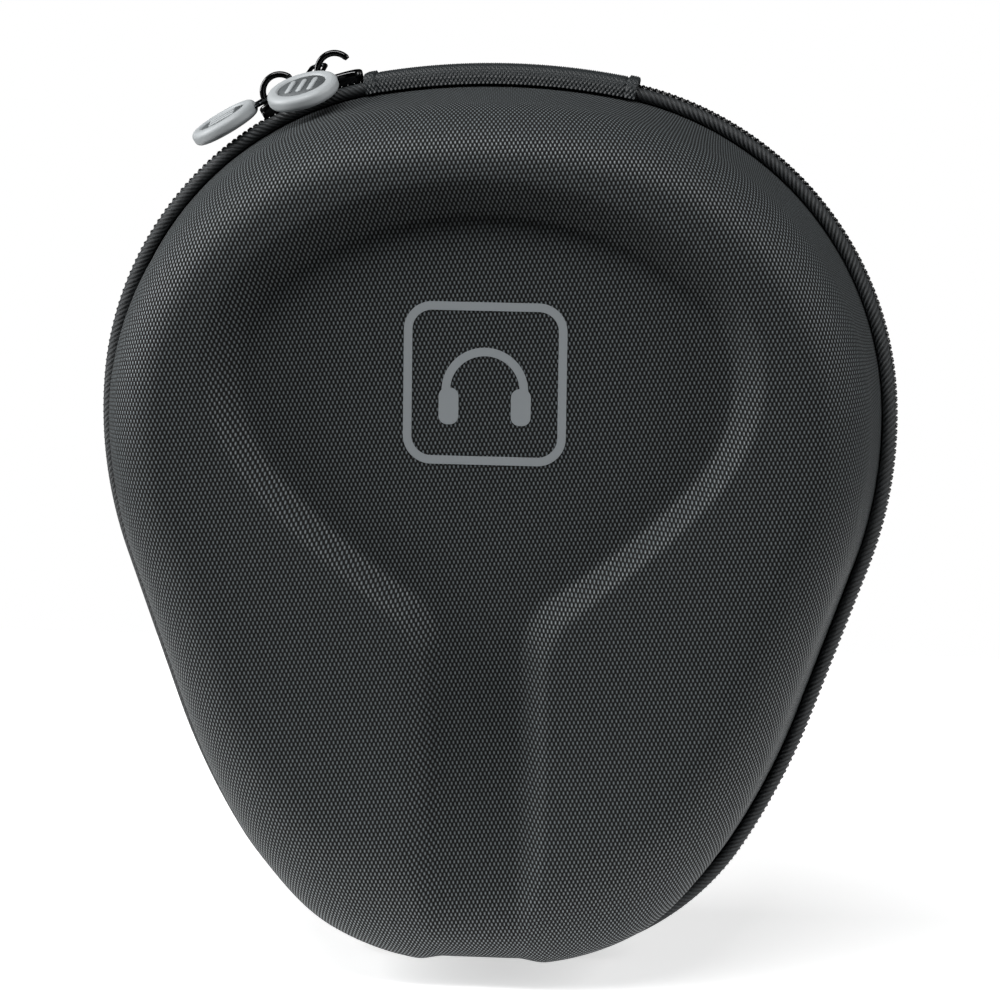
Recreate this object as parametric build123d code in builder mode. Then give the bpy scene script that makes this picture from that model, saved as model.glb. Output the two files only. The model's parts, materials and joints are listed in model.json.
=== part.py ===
from build123d import *
import os
from math import cos, degrees, radians, sin

# A moulded clamshell carrying case for over-ear headphones, standing on its foot.
# X runs to the right, Y to the rear and Z up, in millimetres. The two halves meet
# at Y = 0, the front half lies at negative Y, and the floor is at Z = 0.

# ---------------------------------------------------------------- driving sizes

HEIGHT = 264.0  # floor to the top of the zip line
FOOT_SINK = 2.0  # how far the zip line is flattened where the case stands

# The zip line's right half, from the top centre: (radius, angle turned at its end).
# The straight flank between the side and the haunch closes the height.
CROWN_ARC = (205.0, 10.0)
SHOULDER_ARC = (99.0, 86.0)
SIDE_ARC = (127.0, 109.4)
HAUNCH_ARC = (200.0, 122.0)
FOOT_ARC = (80.0, 180.0)

# Depths below the zip line, measured square to it.
COIL_DEPTH = 3.0
WALL_INSET = 5.5  # outer face of the moulded wall
WALL = 5.0  # foam and cloth together
LINING = 0.6

HALF_DEPTH = 56.0  # parting plane to the highest part of one half
DRAFT = 6.0
CROWN_ROUND = 24.0  # rounding between the wall and the face of a half
RIM_GAP = 2.15  # rim of a shell to the parting plane

# The sunk panel on each face, with the channel that runs from it to the foot.
PANEL_DEPTH = 10.0
PANEL_TOP = 225.0
PANEL_DRAFT = 38.0
PANEL_ARCS = ((93.0, 40.0), (29.0, 78.0), (44.0, 133.0), (206.0, 146.0))
PANEL_FLANK = 14.4  # straight run from the panel's last arc to the channel
CHANNEL_DRAFT = 25.0
CHANNEL_OVERLAP = 4.0  # how far the channel's cut runs up into the panel's

# Zip, tape, piping and binding.
COIL_HALF_WIDTH = 2.6
PART_GAP = 0.15  # each half's own share of the gap at the parting plane
TAPE_NEAR = 0.2
TAPE_FAR = 1.0
TAPE_FOOT = 9.0  # how deep the tape and the piping's flange are sewn in
TAPE_HIDDEN = 34.0  # the tape stops this far from the middle, under the webbing
PIPING_R = 1.85
PIPING_INSET = 3.6
PIPING_Y = 4.6
FLANGE_NEAR = 1.05
FLANGE_FAR = 2.05
FLANGE_LEG = 0.8  # thickness of the piping's cloth where it turns down to its flange
BINDING_NEAR = 0.3
BINDING_FOOT = 12.1
FIT = 0.1  # gap between sewn layers

# Webbing strip that hinges the halves together.
WEBBING_HALF_LENGTH = 40.0
WEBBING_THICK = 1.6
WEBBING_HALF_WIDTH = 8.2

# Zip sliders, by their angle round the shoulder's centre.
SLIDER_B_TURN = 17.2
SLIDER_A_TURN = 26.8
SLIDER_LENGTH = 14.6
SLIDER_FRONT_Y = 4.2
SLIDER_REAR_Y = 1.2
BLADE_LOW = 0.6
BLADE_TOP = 2.4
FLANGE_LOW = -1.4
ARCH_RISE = 3.6
ARCH_R = 5.9
ARCH_ROD = 1.6

# Pullers.
TAB_WIDTH = 6.0
TAB_THICK = 1.0
CROSSBAR = 1.6
WINDOW_LENGTH = 5.8
WINDOW_WIDTH = 3.4
DISC_R = 10.5
DISC_THICK = 4.2
DISC_OFFSET = 18.5  # crossbar to disc centre
DISC_POCKET_R = 7.3
DISC_POCKET = 0.6
PULLER_A_DIP = 30.0
PULLER_B_DIP = 21.0

# Printed badge.
BADGE_SIZE = 46.0
BADGE_LINE = 2.4
BADGE_Z = 177.0
PRINT_THICK = 0.2

os.makedirs("parts", exist_ok=True)


# ---------------------------------------------------------------- the zip line


def shoulder_centre():
    """Centre of the right shoulder's arc, as (x, z)."""
    radius, turn = CROWN_ARC
    gap = radius - SHOULDER_ARC[0]
    return gap * sin(radians(turn)), HEIGHT - radius + gap * cos(radians(turn))


def flank_length():
    """Length of the straight flank, so that the line ends FOOT_SINK below the floor."""
    drop = 0.0
    turned = 0.0
    for radius, turn in (CROWN_ARC, SHOULDER_ARC, SIDE_ARC):
        drop += radius * (cos(radians(turned)) - cos(radians(turn)))
        turned = turn
    flank_turn = turned
    for radius, turn in (HAUNCH_ARC, FOOT_ARC):
        drop += radius * (cos(radians(turned)) - cos(radians(turn)))
        turned = turn
    return (HEIGHT + FOOT_SINK - drop) / sin(radians(flank_turn))


def draw_arc(x, z, turned, radius, turn, inset):
    """Draw one arc of a line that lies inset inside the line through (x, z)."""
    centre = (x - radius * sin(radians(turned)), z - radius * cos(radians(turned)))
    CenterArc(centre, radius - inset, 90 - turned, turned - turn)
    x = centre[0] + radius * sin(radians(turn))
    z = centre[1] + radius * cos(radians(turn))
    return x, z, turn


def draw_straight(x, z, turned, length, inset):
    """Draw a straight run of a line that lies inset inside the line through (x, z)."""
    ahead = (cos(radians(turned)), -sin(radians(turned)))
    start = (x + ahead[1] * inset, z - ahead[0] * inset)
    end = (start[0] + ahead[0] * length, start[1] + ahead[1] * length)
    Line(start, end)
    return x + ahead[0] * length, z + ahead[1] * length, turned


def draw_zip_line(inset):
    """Draw the closed zip line, inset towards the middle of the case."""
    here = (0.0, HEIGHT, 0.0)
    for radius, turn in (CROWN_ARC, SHOULDER_ARC, SIDE_ARC):
        here = draw_arc(*here, radius, turn, inset)
    here = draw_straight(*here, flank_length(), inset)
    for radius, turn in (HAUNCH_ARC, FOOT_ARC):
        here = draw_arc(*here, radius, turn, inset)
    Line((here[0], here[1] + inset), (0, here[1] + inset))
    mirror(about=Plane.YZ)


def case_plane(y):
    """The upright plane at depth y, facing the front."""
    return Plane.XZ.offset(-y)


def make_ring(outer, inner, y_near, y_far):
    """A band between two insets of the zip line, from depth y_near to y_far in front."""
    with BuildPart() as ring:
        with BuildSketch(case_plane(-y_near)):
            with BuildLine():
                draw_zip_line(outer)
            make_face()
            with BuildLine(mode=Mode.PRIVATE) as hole:
                draw_zip_line(inner)
            make_face(hole.edges(), mode=Mode.SUBTRACT)
        extrude(amount=y_far - y_near)
    return ring.part


def make_panel_cut(margin, floor_y, top_y):
    """The block that sinks the panel and the channel, grown by margin on every side."""
    with BuildPart() as cut:
        with BuildSketch(case_plane(-floor_y)):
            with BuildLine():
                here = (0.0, PANEL_TOP, 0.0)
                for radius, turn in PANEL_ARCS:
                    here = draw_arc(*here, radius, turn, -margin)
                here = draw_straight(*here, PANEL_FLANK, -margin)
                low_x = here[0] + margin * sin(radians(here[2]))
                low_z = here[1] + margin * cos(radians(here[2]))
                Line((low_x, low_z), (0, low_z))
                mirror(about=Plane.YZ)
            make_face()
        extrude(amount=top_y - floor_y, taper=-PANEL_DRAFT)
        with BuildSketch(case_plane(-floor_y)):
            with Locations((0, low_z + CHANNEL_OVERLAP)):
                Rectangle(2 * low_x, HEIGHT, align=(Align.CENTER, Align.MAX))
        extrude(amount=top_y - floor_y, taper=-CHANNEL_DRAFT)
    return cut.part


def make_dome(inset, depth, rounding, margin):
    """One half as a solid dome, with its panel and channel sunk into the face."""
    with BuildPart() as dome:
        with BuildSketch(case_plane(-RIM_GAP)):
            with BuildLine():
                draw_zip_line(inset)
            make_face()
        extrude(amount=depth - RIM_GAP, taper=DRAFT)
        fillet(dome.faces().sort_by(Axis.Y)[0].edges(), rounding)
        add(make_panel_cut(margin, depth - PANEL_DEPTH, depth + 1.0), mode=Mode.SUBTRACT)
    return dome.part


def top_block(half_length):
    """A block that holds the top of the band, out to half_length on each side."""
    with BuildPart() as block:
        with Locations((0, 0, HEIGHT)):
            Box(2 * half_length, HALF_DEPTH, 60)
    return block.part


def below_floor():
    """A block under the floor, to flatten what rests on it."""
    with BuildPart() as block:
        Box(HEIGHT, HEIGHT, 20, align=(Align.CENTER, Align.CENTER, Align.MAX))
    return block.part


# ---------------------------------------------------------------- front half

INNER = WALL_INSET + WALL

with BuildPart() as front_shell:
    add(make_dome(WALL_INSET, HALF_DEPTH, CROWN_ROUND, 0.0))
    add(make_dome(INNER, HALF_DEPTH - WALL, CROWN_ROUND - WALL, WALL), mode=Mode.SUBTRACT)
front_shell.part.label = "front_shell"

with BuildPart() as front_lining:
    add(make_dome(INNER, HALF_DEPTH - WALL, CROWN_ROUND - WALL, WALL))
    skin = INNER + LINING
    skin_depth = HALF_DEPTH - WALL - LINING
    skin_round = CROWN_ROUND - WALL - LINING
    add(make_dome(skin, skin_depth, skin_round, WALL + LINING), mode=Mode.SUBTRACT)
front_lining.part.label = "front_lining"

with BuildPart() as front_zip_tape:
    add(make_ring(COIL_DEPTH + FIT, TAPE_FOOT, TAPE_NEAR, TAPE_FAR))
    add(top_block(TAPE_HIDDEN), mode=Mode.SUBTRACT)
front_zip_tape.part.label = "front_zip_tape"

with BuildPart() as front_zip_coil:
    add(make_ring(0.0, COIL_DEPTH, PART_GAP, COIL_HALF_WIDTH))
    add(top_block(WEBBING_HALF_LENGTH + 2 * FIT), mode=Mode.SUBTRACT)
    add(below_floor(), mode=Mode.SUBTRACT)
front_zip_coil.part.label = "front_zip_coil"

with BuildPart() as front_piping:
    with BuildLine(case_plane(-PIPING_Y)) as piping_path:
        draw_zip_line(PIPING_INSET)
    with BuildSketch(Plane(origin=(0, -PIPING_Y, HEIGHT - PIPING_INSET), z_dir=(1, 0, 0))):
        Circle(PIPING_R)
    sweep(path=piping_path.wires()[0])
    leg = PIPING_INSET + FLANGE_LEG
    add(make_ring(leg, leg + FLANGE_LEG, FLANGE_NEAR, PIPING_Y - PIPING_R / 2))
    add(make_ring(leg, TAPE_FOOT, FLANGE_NEAR, FLANGE_FAR))
    add(below_floor(), mode=Mode.SUBTRACT)
front_piping.part.label = "front_piping"

with BuildPart() as front_binding:
    add(make_ring(TAPE_FOOT + FIT, BINDING_FOOT, BINDING_NEAR, FLANGE_FAR))
front_binding.part.label = "front_binding"

with BuildPart() as front_webbing:
    add(make_ring(0.0, WEBBING_THICK, PART_GAP, WEBBING_HALF_WIDTH))
    web_leg = PIPING_Y + PIPING_R + 3 * FIT
    add(make_ring(WEBBING_THICK, WALL_INSET - 2 * FIT, web_leg, WEBBING_HALF_WIDTH))
    add(top_block(WEBBING_HALF_LENGTH), mode=Mode.INTERSECT)
front_webbing.part.label = "front_webbing"

# The badge: a rounded frame with a plain headphone sign, printed on the sunk panel.
PANEL_Y = HALF_DEPTH - PANEL_DEPTH
with BuildPart() as badge_print:
    with BuildSketch(case_plane(-PANEL_Y)):
        with Locations((0, BADGE_Z)):
            RectangleRounded(BADGE_SIZE, BADGE_SIZE, 8.0)
            inside = BADGE_SIZE - 2 * BADGE_LINE
            RectangleRounded(inside, inside, 8.0 - BADGE_LINE, mode=Mode.SUBTRACT)
    extrude(amount=PRINT_THICK)
    with BuildSketch(case_plane(-PANEL_Y)):
        with BuildLine():
            band = CenterArc((0, BADGE_Z - 2.0), 11.0, 0, 180)
            offset(band, amount=1.2, side=Side.BOTH)
        make_face()
        with Locations((-10.2, BADGE_Z - 6.5), (10.2, BADGE_Z - 6.5)):
            RectangleRounded(5.6, 10.4, 2.4)
    extrude(amount=PRINT_THICK)
badge_print.part.label = "badge_print"

# ---------------------------------------------------------------- rear half

rear_pieces = {}
for front, name in (
    (front_shell, "back_shell"),
    (front_lining, "back_lining"),
    (front_zip_tape, "back_zip_tape"),
    (front_zip_coil, "back_zip_coil"),
    (front_piping, "back_piping"),
    (front_binding, "back_binding"),
    (front_webbing, "back_webbing"),
):
    with BuildPart() as rear_piece:
        mirror(front.part, about=Plane.XZ)
    rear_piece.part.label = name
    rear_pieces[name] = rear_piece.part

# ---------------------------------------------------------------- zip sliders


def make_arc_block(turn, length, low, high, y_rear, y_front):
    """A block that follows the left shoulder, between two heights over the zip line."""
    centre_x, centre_z = shoulder_centre()
    radius = SHOULDER_ARC[0]
    half = degrees(length / 2 / radius)
    start = 90 + turn - half
    with BuildPart() as block:
        with BuildSketch(case_plane(y_rear)):
            with BuildLine():
                outer = CenterArc((-centre_x, centre_z), radius + high, start, 2 * half)
                inner = CenterArc((-centre_x, centre_z), radius + low, start, 2 * half)
                Line(outer @ 0, inner @ 0)
                Line(outer @ 1, inner @ 1)
            make_face()
        extrude(amount=y_rear - y_front)
    return block.part


def zip_plane(turn, rise):
    """The plane through the zip at an angle on the left shoulder, X along the zip."""
    centre_x, centre_z = shoulder_centre()
    reach = SHOULDER_ARC[0] + rise
    out = (-sin(radians(turn)), cos(radians(turn)))
    spot = (-centre_x + out[0] * reach, 0, centre_z + out[1] * reach)
    return Plane(origin=spot, x_dir=(out[1], 0, -out[0]), z_dir=(0, -1, 0))


slider_pieces = {}
for letter, turn in (("a", SLIDER_A_TURN), ("b", SLIDER_B_TURN)):
    span = (SLIDER_REAR_Y, -SLIDER_FRONT_Y)
    with BuildPart() as slider_body:
        add(make_arc_block(turn, SLIDER_LENGTH, BLADE_LOW, BLADE_TOP, *span))
        flange = (-COIL_HALF_WIDTH - 0.4, -SLIDER_FRONT_Y)
        add(make_arc_block(turn, SLIDER_LENGTH, FLANGE_LOW, BLADE_LOW, *flange))
    slider_body.part.label = f"slider_{letter}_body"
    slider_pieces[f"slider_{letter}_body"] = slider_body.part

    with BuildPart() as slider_hook:
        with BuildSketch(zip_plane(turn, ARCH_RISE)):
            with BuildLine():
                outer = CenterArc((0, 0), ARCH_R, 25, 155)
                inner = CenterArc((0, 0), ARCH_R - ARCH_ROD, 25, 155)
                Line(outer @ 0, inner @ 0)
                Line(outer @ 1, inner @ 1)
            make_face()
            with Locations((-ARCH_R + ARCH_ROD / 2, 0)):
                Rectangle(ARCH_ROD, 2.0, align=(Align.CENTER, Align.MAX))
        extrude(amount=ARCH_ROD / 2, both=True)
        add(slider_body.part, mode=Mode.SUBTRACT)
    slider_hook.part.label = f"slider_{letter}_hook"
    slider_pieces[f"slider_{letter}_hook"] = slider_hook.part

# ---------------------------------------------------------------- pullers


def puller_a_plane():
    """Puller A lies along the zip, to the left of its slider."""
    spot = zip_plane(SLIDER_A_TURN, ARCH_RISE).origin
    dip = radians(PULLER_A_DIP)
    return Plane(origin=spot, x_dir=(-cos(dip), 0, -sin(dip)), z_dir=(-sin(dip), 0, cos(dip)))


def puller_b_plane():
    """Puller B hangs forwards over the front piping, its window round the hook's leg."""
    hook = zip_plane(SLIDER_B_TURN, ARCH_RISE)
    leg_angle = radians(20)
    leg_r = ARCH_R - ARCH_ROD / 2
    leg = hook.from_local_coords((-leg_r * cos(leg_angle), leg_r * sin(leg_angle), 0))
    dip = radians(PULLER_B_DIP)
    ahead = Vector(-0.14, -cos(dip), -sin(dip)).normalized()
    spot = leg - ahead * 2.7
    up = Vector(0, -sin(dip), cos(dip))
    return Plane(origin=spot, x_dir=ahead, z_dir=up - ahead * up.dot(ahead))


puller_pieces = {}
for letter, plane in (("a", puller_a_plane()), ("b", puller_b_plane())):
    with BuildPart() as pull_tab:
        with BuildSketch(plane.offset(-TAB_THICK / 2)):
            with Locations((-CROSSBAR / 2, 0)):
                Rectangle(13.0, TAB_WIDTH, align=(Align.MIN, Align.CENTER))
            with Locations((CROSSBAR / 2, 0)):
                Rectangle(
                    WINDOW_LENGTH,
                    WINDOW_WIDTH,
                    align=(Align.MIN, Align.CENTER),
                    mode=Mode.SUBTRACT,
                )
        extrude(amount=TAB_THICK)
    pull_tab.part.label = f"pull_tab_{letter}"
    puller_pieces[f"pull_tab_{letter}"] = pull_tab.part

    with BuildPart() as pull_disc:
        with BuildSketch(plane.offset(-DISC_THICK / 2)):
            with Locations((DISC_OFFSET, 0)):
                Circle(DISC_R)
        extrude(amount=DISC_THICK)
        fillet(pull_disc.edges().filter_by(GeomType.CIRCLE), 1.3)
        for level in (-DISC_THICK / 2, DISC_THICK / 2 - DISC_POCKET):
            with BuildSketch(plane.offset(level)):
                with Locations((DISC_OFFSET, 0)):
                    Circle(DISC_POCKET_R)
                with Locations(
                    (DISC_OFFSET, -3.4), (DISC_OFFSET, 0), (DISC_OFFSET, 3.4)
                ):
                    SlotOverall(8.4, 1.5, mode=Mode.SUBTRACT)
            extrude(amount=DISC_POCKET, mode=Mode.SUBTRACT)
        add(pull_tab.part, mode=Mode.SUBTRACT)
    pull_disc.part.label = f"pull_disc_{letter}"
    puller_pieces[f"pull_disc_{letter}"] = pull_disc.part

    with BuildPart() as pull_inlay:
        for level in (DISC_POCKET - DISC_THICK / 2 - 0.25, DISC_THICK / 2 - DISC_POCKET):
            with BuildSketch(plane.offset(level)):
                with Locations((DISC_OFFSET, 0)):
                    Circle(DISC_POCKET_R)
            extrude(amount=0.25)
        add(pull_disc.part, mode=Mode.SUBTRACT)
    pull_inlay.part.label = f"pull_inlay_{letter}"
    puller_pieces[f"pull_inlay_{letter}"] = pull_inlay.part

# ---------------------------------------------------------------- write the pieces

front_pieces = (
    front_shell,
    front_lining,
    front_zip_tape,
    front_zip_coil,
    front_piping,
    front_binding,
    front_webbing,
    badge_print,
)
for piece in front_pieces:
    export_step(piece.part, f"parts/{piece.part.label}.step")
for piece in (*rear_pieces.values(), *slider_pieces.values(), *puller_pieces.values()):
    export_step(piece, f"parts/{piece.label}.step")

for letter in ("a", "b"):
    turn = SLIDER_A_TURN if letter == "a" else SLIDER_B_TURN
    print("slider", letter, "hook centre", zip_plane(turn, ARCH_RISE).origin)
print("puller a crossbar", puller_a_plane().origin, "puller b", puller_b_plane().origin)
print("shoulder centre", shoulder_centre(), "flank", flank_length())
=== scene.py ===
# %% [markdown]
# # A moulded carrying case for headphones
# The case is two shells of foam, covered in coarse nylon cloth and zipped together round
# their edge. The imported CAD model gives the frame: where each piece sits, what body it
# moves with, and how large it is. Here each piece gets the shape and the finish that the
# eye sees.
# The soft pieces are built again in mesh code, because their bulges, weave and stitches
# are finer than the CAD holds. Each new piece then stands for its CAD node.

# %% Load the frame
import json
import math

import bmesh
import bpy
import numpy as np
from mathutils import Matrix, Vector

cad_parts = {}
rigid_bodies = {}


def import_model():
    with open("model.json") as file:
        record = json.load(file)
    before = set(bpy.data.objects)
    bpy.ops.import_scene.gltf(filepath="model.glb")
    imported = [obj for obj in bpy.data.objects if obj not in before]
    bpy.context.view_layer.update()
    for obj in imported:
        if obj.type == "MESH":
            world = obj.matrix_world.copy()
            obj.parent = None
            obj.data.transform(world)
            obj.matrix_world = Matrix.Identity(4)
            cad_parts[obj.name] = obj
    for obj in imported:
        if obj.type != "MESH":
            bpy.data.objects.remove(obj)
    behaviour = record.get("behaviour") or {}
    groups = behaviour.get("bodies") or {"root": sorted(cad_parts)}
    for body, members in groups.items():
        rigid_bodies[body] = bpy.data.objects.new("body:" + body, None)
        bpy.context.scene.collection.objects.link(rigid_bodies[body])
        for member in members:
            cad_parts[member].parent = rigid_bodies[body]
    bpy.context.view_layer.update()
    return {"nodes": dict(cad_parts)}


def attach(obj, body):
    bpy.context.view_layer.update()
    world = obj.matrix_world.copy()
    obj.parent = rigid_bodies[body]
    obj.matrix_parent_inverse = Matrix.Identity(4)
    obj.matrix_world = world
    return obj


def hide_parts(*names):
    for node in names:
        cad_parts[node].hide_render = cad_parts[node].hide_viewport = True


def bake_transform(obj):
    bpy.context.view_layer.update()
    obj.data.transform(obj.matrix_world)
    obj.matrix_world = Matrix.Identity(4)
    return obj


for leftover in list(bpy.data.objects):
    bpy.data.objects.remove(leftover)
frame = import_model()
MM = 0.001

# %% [markdown]
# # The zip line
# Everything round the edge follows one closed line, the zip line. It is drawn as tangent
# arcs, each given by its radius and the heading at its end, starting at the top and going
# down the right side. The left side mirrors it. Placing every sewn piece by its distance
# along this line and its depth below it keeps them all parallel, as on the real case.

# %% Arcs of the zip line
# Radius in mm and the heading at the end in degrees; a radius of 0 is the straight flank.
ARCS = ((205.0, 10.0), (99.0, 86.0), (127.0, 109.4), (0.0, 109.4), (200.0, 122.0), (80.0, 180.0))
FLANK = 46.748  # the straight run after the side's arc
ZIP_TOP = 264.0


def half_line():
    """The right half as runs: start distance, x, z, heading, length and radius (0 is straight)."""
    runs = []
    x, z, turned, along = 0.0, ZIP_TOP, 0.0, 0.0
    for radius, turn in ARCS:
        t0, t1 = math.radians(turned), math.radians(turn)
        length = radius * (t1 - t0) if radius else FLANK
        runs.append((along, x, z, t0, length, radius))
        if radius:
            x += radius * (math.sin(t1) - math.sin(t0))
            z += radius * (math.cos(t1) - math.cos(t0))
        else:
            x, z = x + FLANK * math.cos(t0), z - FLANK * math.sin(t0)
        turned, along = turn, along + length
    runs.append((along, x, z, math.pi, x, 0.0))
    return runs, along + x


RUNS, HALF_LENGTH = half_line()
print("zip line, mm round:", round(2 * HALF_LENGTH, 1))

# %% Points along it


def on_zip_line(along):
    """Points (x, z) in mm and headings at distances along the zip line, clockwise from the top."""
    along = np.mod(np.asarray(along, float), 2 * HALF_LENGTH)
    left = along > HALF_LENGTH
    s = np.where(left, 2 * HALF_LENGTH - along, along)
    x, z, heading = np.zeros_like(s), np.zeros_like(s), np.zeros_like(s)
    for start, x0, z0, t0, length, radius in RUNS:
        here = (s >= start - 1e-9) & (s <= start + length + 1e-9)
        step = s - start
        t = t0 + (step / radius if radius else 0.0 * step)
        if radius:
            dx, dz = radius * (np.sin(t) - math.sin(t0)), radius * (np.cos(t) - math.cos(t0))
        else:
            dx, dz = step * math.cos(t0), -step * math.sin(t0)
        x, z = np.where(here, x0 + dx, x), np.where(here, z0 + dz, z)
        heading = np.where(here, t, heading)
    side = np.where(left, -1.0, 1.0)
    points = np.stack([x * side, z], axis=-1)
    outward = np.stack([np.sin(heading) * side, np.cos(heading)], axis=-1)
    return points, outward, heading


# %% [markdown]
# # Making meshes
# Most pieces are grids of points bent into shape: a tube is a grid closed one way, and a
# shell is a grid that runs from its rim to its middle. So three small functions do nearly
# all the building: one makes an object from points and faces, one lists a grid's faces,
# and one sweeps a section along the zip line.

# %% Objects from points


def make_object(name, points_mm, faces, uv_mm=None, flat=False):
    """A mesh object from points in millimetres, with a UV map in millimetres if one is given."""
    mesh = bpy.data.meshes.new(name)
    mesh.from_pydata((np.asarray(points_mm) * MM).tolist(), [], [tuple(f) for f in faces])
    mesh.polygons.foreach_set("use_smooth", [not flat] * len(mesh.polygons))
    if uv_mm is not None:
        corner = np.zeros(len(mesh.loops), int)
        mesh.loops.foreach_get("vertex_index", corner)
        layer = mesh.uv_layers.new(name="cloth")
        layer.data.foreach_set("uv", np.asarray(uv_mm)[corner].astype(np.float32).ravel())
    mesh.update()
    made = bpy.data.objects.new(name, mesh)
    bpy.context.scene.collection.objects.link(made)
    return made


def turn_outward(piece):
    """Makes a closed mesh's faces look outward."""
    shape = bmesh.new()
    shape.from_mesh(piece.data)
    bmesh.ops.recalc_face_normals(shape, faces=shape.faces)
    shape.to_mesh(piece.data)
    shape.free()
    return piece


def grid_faces(rows, columns, closed_rows=False, closed_columns=False, start=0):
    """Four-sided faces of a grid of points that are numbered row by row."""
    r = np.arange(rows if closed_rows else rows - 1)[:, None]
    c = np.arange(columns if closed_columns else columns - 1)[None, :]
    r2, c2 = (r + 1) % rows, (c + 1) % columns
    quads = np.stack([r * columns + c, r * columns + c2, r2 * columns + c2, r2 * columns + c], -1)
    return (quads.reshape(-1, 4) + start).tolist()


def capped_faces(rows, columns):
    """Faces of a tube of rings that is closed at both ends."""
    faces = grid_faces(rows, columns, closed_columns=True)
    return faces + [list(range(columns)), list(range((rows - 1) * columns, rows * columns))]


# %% Sweeping a section along the zip line
FLOOR_GAP = 0.3  # the lowest that a sewn piece may reach, in mm


def sweep(name, along, section, closed=False):
    """A closed section swept along the zip line. section(along) gives (n, sections, 2):
    height over the zip line and depth Y, in mm."""
    shape = section(along)
    points, outward, _ = on_zip_line(along)
    xz = points[:, None, :] + outward[:, None, :] * shape[..., :1]
    xyz = np.stack([xz[..., 0], shape[..., 1], np.maximum(xz[..., 1], FLOOR_GAP)], axis=-1)
    n, m = xyz.shape[:2]
    around = np.linalg.norm(np.diff(shape[0], axis=0, append=shape[0][:1]), axis=1)
    v = np.concatenate([[0.0], np.cumsum(around)[:-1]])
    uv = np.stack(np.broadcast_arrays(along[:, None], v[None, :]), axis=-1)
    ring = grid_faces(n, m, closed_rows=True, closed_columns=True) if closed else capped_faces(n, m)
    return turn_outward(make_object(name, xyz.reshape(-1, 3), ring, uv.reshape(-1, 2)))


def steady(shape):
    """A section for sweep() that is the same all the way."""
    return lambda along: np.broadcast_to(shape, (len(along),) + shape.shape)


def rounded(low, high, near, far, corner, steps=3):
    """A rounded box section between two heights and two depths."""
    out = []
    for h, y, start in ((high, far, 0), (high, near, 90), (low, near, 180), (low, far, 270)):
        inner_h = h - corner if h == high else h + corner
        inner_y = y - corner if y == far else y + corner
        for turn in np.radians(np.linspace(start, start + 90, steps + 1)):
            out.append((inner_h + corner * math.sin(turn), inner_y + corner * math.cos(turn)))
    return np.array(out)


# %% [markdown]
# # The outer shape of one half
# The shell is pressed in a mould from a flat sheet, so it has no sharp inner folds. Its
# outer wall rises almost upright from the rim and rounds over to a crest. Inside the crest
# a panel is sunk 10 mm deep, and its slope ends in a crisp crease all round the floor. Two
# lobes below make room for the ear cups, and a channel runs between them to the foot.
# A height field alone can't hold the upright wall, so the surface is a grid of rings: the
# outer rings climb the wall and the rounding, and the inner ones shrink to the middle.

# %% Panel outline
PANEL_TOP = 225.0
PANEL_ARCS = ((93.0, 40.0), (29.0, 78.0), (44.0, 133.0), (206.0, 146.0))
CHANNEL_HALF = 12.0
CHANNEL_START = 150.0
FUNNEL = 9.0  # rounding where the channel leaves the panel, in mm


def outside_panel(x, z):
    """How far a point lies outside the floor of the panel and channel, in mm; negative inside."""
    x = np.abs(x)
    gap = np.full_like(x, -1000.0)
    px, pz, turned = 0.0, PANEL_TOP, 0.0
    for radius, turn in PANEL_ARCS:
        t0, t1 = math.radians(turned), math.radians(turn)
        cx, cz = px - radius * math.sin(t0), pz - radius * math.cos(t0)
        heading = np.arctan2(x - cx, z - cz)
        here = (heading >= t0) & (heading <= t1)
        gap = np.where(here, np.maximum(gap, np.hypot(x - cx, z - cz) - radius), gap)
        px, pz, turned = cx + radius * math.sin(t1), cz + radius * math.cos(t1), turn
    t = math.radians(turned)
    ahead = (x - px) * math.cos(t) - (z - pz) * math.sin(t)
    aside = (x - px) * math.sin(t) + (z - pz) * math.cos(t)
    gap = np.where(ahead >= 0, np.maximum(gap, aside), gap)
    channel = np.maximum(x - CHANNEL_HALF, z - CHANNEL_START)
    return soft_min(gap, channel, FUNNEL)


def soft_min(a, b, blend):
    """The smaller of two values, rounded over where they are within blend of each other."""
    near = np.clip(1 - np.abs(a - b) / blend, 0, 1)
    return np.minimum(a, b) - near * near * blend / 4


def ease(low, high, x):
    """0 below low, 1 above high, and smooth between."""
    t = np.clip((x - low) / (high - low), 0, 1)
    return t * t * (3 - 2 * t)


# %% Height of the panel, lobes and ring
HALF_DEPTH = 56.0
PANEL_DEPTH = 10.0
STEEP_RISE = 8.2  # the slope beside the panel; the rest of the depth is a gentle dome
SLOPE_POWER = 1.8  # over 1, the slope is steepest at its foot
SLOPE_WIDTH = 8.5  # in mm, before the changes below
SLOPE_CHANGES = ((100, 125, -2.5), (145, 185, 3.5), (195, 222, 1.5))  # from z, to z, and the change
CREASE = 1.1  # rounding of the crease at the panel's floor, in mm
CREST_BLEND = 5.0  # how widely the wall and the gentle dome run together, in mm
CHANNEL_FADE = 4.5  # how much shallower the channel is at the foot


def face_height(x, z, from_crest, offset):
    """Height of the face over the parting plane, in mm. from_crest is how far inside the crest
    a point is, and offset how deep under the outer surface."""
    gap = outside_panel(x, z) - offset
    gap = 0.5 * (gap + np.sqrt(gap * gap + CREASE * CREASE))
    width = SLOPE_WIDTH + sum(change * ease(low, high, z) for low, high, change in SLOPE_CHANGES)
    share = np.clip(gap / width, 0, 1)
    rise = 1 - (1 - share) ** SLOPE_POWER
    dome = (1 - (1 - gap / (gap + from_crest + 1e-6)) ** 2) * ease(0, 1, share)
    depth = PANEL_DEPTH - CHANNEL_FADE * (1 - ease(12, 80, z))
    climb = (STEEP_RISE * rise + (PANEL_DEPTH - STEEP_RISE) * dome) / PANEL_DEPTH
    return HALF_DEPTH - offset - depth * (1 - climb), rise


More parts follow.
